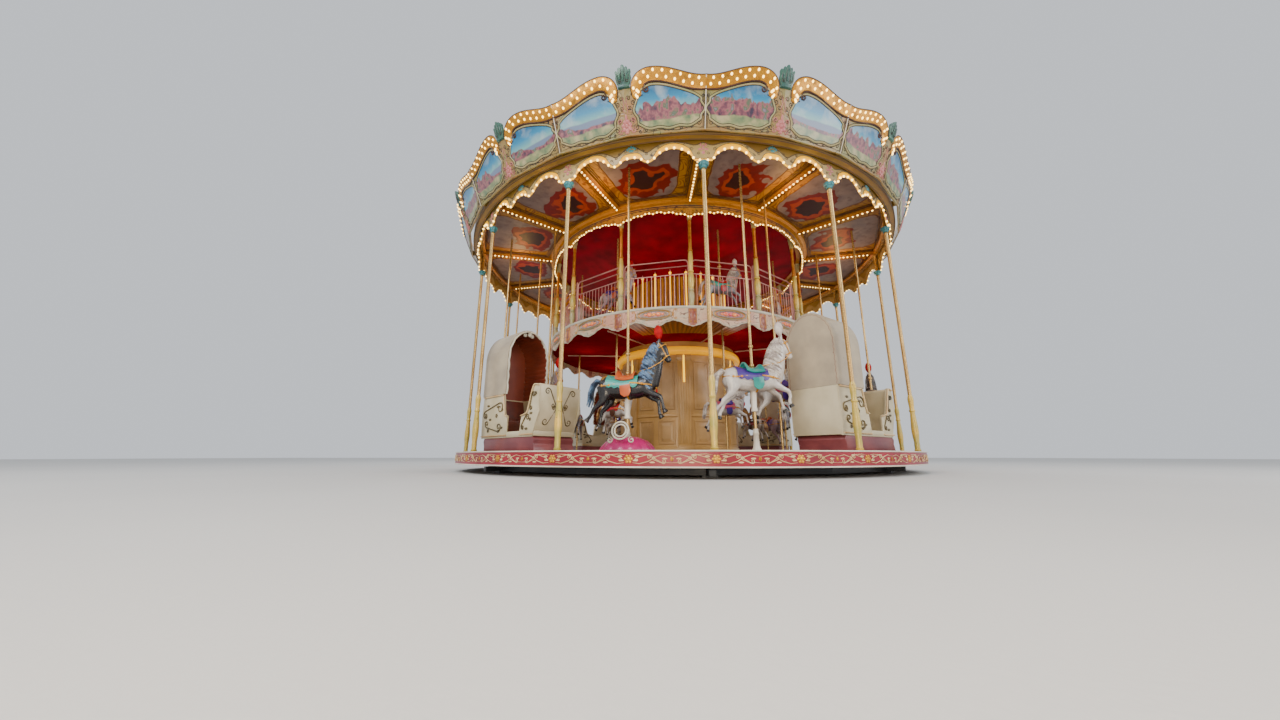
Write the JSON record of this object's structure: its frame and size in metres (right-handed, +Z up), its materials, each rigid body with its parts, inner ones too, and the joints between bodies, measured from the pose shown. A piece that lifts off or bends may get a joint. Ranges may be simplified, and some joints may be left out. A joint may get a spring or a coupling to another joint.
{
  "type": "fairground carousel",
  "caption": "Round two-deck carousel that turns on a fixed base, with lit picture boards, a conical canopy, sliding horses on poles and hooded chariots.",
  "frame": {"origin": "on the axis of rotation, at the level that the feet of the base frame stand on", "axes": "+Z up along the axis of rotation; -Y points to an outer pole, at the side that the picture was taken from"},
  "size_m": [11.7472, 11.5488, 8.75],
  "materials": {
    "frame_steel": "satin dark grey paint",
    "floor_boards": "worn non-slip floor boards",
    "skirt_paint": "gloss crimson pink with cream and gold scrolls",
    "ivory_paint": "satin ivory cream on moulded panels",
    "lit_yellow": "backlit yellow",
    "crimson_paint": "gloss crimson",
    "cream_carving": "painted carving in cream and sage",
    "column_brass": "polished and painted turned brass",
    "rail_brass": "polished",
    "gold_paint": "gold leaf and gold paint",
    "ceiling_ochre": "ochre and gold coffers",
    "board_paint": "painted picture boards in sage frames",
    "roof_cover": "painted sheet roof panels",
    "horse_paint": "painted and lacquered glass fibre",
    "chariot_paint": "cream lacquer with gold scrolls",
    "hood_cover": "brown lacquered shell with a pale carved rim",
    "shell_paint": "magenta lacquer"
  },
  "bodies": {
    "base": {"base_frame": "frame_steel", "slewing_pedestal": "frame_steel"},
    "carousel": {"platform_floor": "floor_boards", "platform_skirt": "skirt_paint", "centre_drum": "ivory_paint", "drum_cornice": "lit_yellow", "lower_ceiling": "crimson_paint", "upper_deck_floor": "floor_boards", "upper_fascia": "cream_carving", "upper_columns": "column_brass", "upper_railing": "rail_brass", "upper_drum": "gold_paint", "red_ceiling": "crimson_paint", "outer_poles": "column_brass", "coffered_ceiling": "ceiling_ochre", "ceiling_beams": "gold_paint", "outer_valance": "cream_carving", "inner_valance": "gold_paint", "canopy_rim": "ceiling_ochre", "rounding_boards": "board_paint", "crest_rail": "gold_paint", "canopy_roof": "roof_cover", "roof_finial": "gold_paint", "middle_row_horses": "horse_paint", "inner_row_horses": "horse_paint", "upper_row_horses": "horse_paint", "shell_base_1": "shell_paint", "shell_base_2": "shell_paint", "chariot_body_1": "chariot_paint", "chariot_hood_1": "hood_cover", "chariot_body_2": "chariot_paint", "chariot_hood_2": "hood_cover", "chariot_body_3": "chariot_paint", "chariot_hood_3": "hood_cover", "chariot_body_4": "chariot_paint", "chariot_hood_4": "hood_cover"},
    "horse_01": {"horse_01": "horse_paint"},
    "horse_02": {"horse_02": "horse_paint"},
    "horse_03": {"horse_03": "horse_paint"},
    "horse_04": {"horse_04": "horse_paint"},
    "horse_05": {"horse_05": "horse_paint"},
    "horse_06": {"horse_06": "horse_paint"},
    "horse_07": {"horse_07": "horse_paint"},
    "horse_08": {"horse_08": "horse_paint"},
    "horse_09": {"horse_09": "horse_paint"},
    "horse_10": {"horse_10": "horse_paint"}
  },
  "joints": [
    {"name": "platform_turn", "type": "hinge", "parent": "base", "child": "carousel", "pos_m": [0, 0, 0.2], "axis": [0, 0, 1], "continuous": true},
    {"name": "horse_01_jump", "type": "slide", "parent": "carousel", "child": "horse_01", "axis": [0, 0, 1], "range_m": [-0.15, 0.15]},
    {"name": "horse_02_jump", "type": "slide", "parent": "carousel", "child": "horse_02", "axis": [0, 0, 1], "range_m": [-0.2536, 0.0464]},
    {"name": "horse_03_jump", "type": "slide", "parent": "carousel", "child": "horse_03", "axis": [0, 0, 1], "range_m": [-0.152, 0.148]},
    {"name": "horse_04_jump", "type": "slide", "parent": "carousel", "child": "horse_04", "axis": [0, 0, 1], "range_m": [-0.2526, 0.0474]},
    {"name": "horse_05_jump", "type": "slide", "parent": "carousel", "child": "horse_05", "axis": [0, 0, 1], "range_m": [-0.0444, 0.2556]},
    {"name": "horse_06_jump", "type": "slide", "parent": "carousel", "child": "horse_06", "axis": [0, 0, 1], "range_m": [-0.2515, 0.0485]},
    {"name": "horse_07_jump", "type": "slide", "parent": "carousel", "child": "horse_07", "axis": [0, 0, 1], "range_m": [-0.0435, 0.2565]},
    {"name": "horse_08_jump", "type": "slide", "parent": "carousel", "child": "horse_08", "axis": [0, 0, 1], "range_m": [-0.2504, 0.0496]},
    {"name": "horse_09_jump", "type": "slide", "parent": "carousel", "child": "horse_09", "axis": [0, 0, 1], "range_m": [-0.0426, 0.2574]},
    {"name": "horse_10_jump", "type": "slide", "parent": "carousel", "child": "horse_10", "axis": [0, 0, 1], "range_m": [-0.1581, 0.1419]}
  ]
}
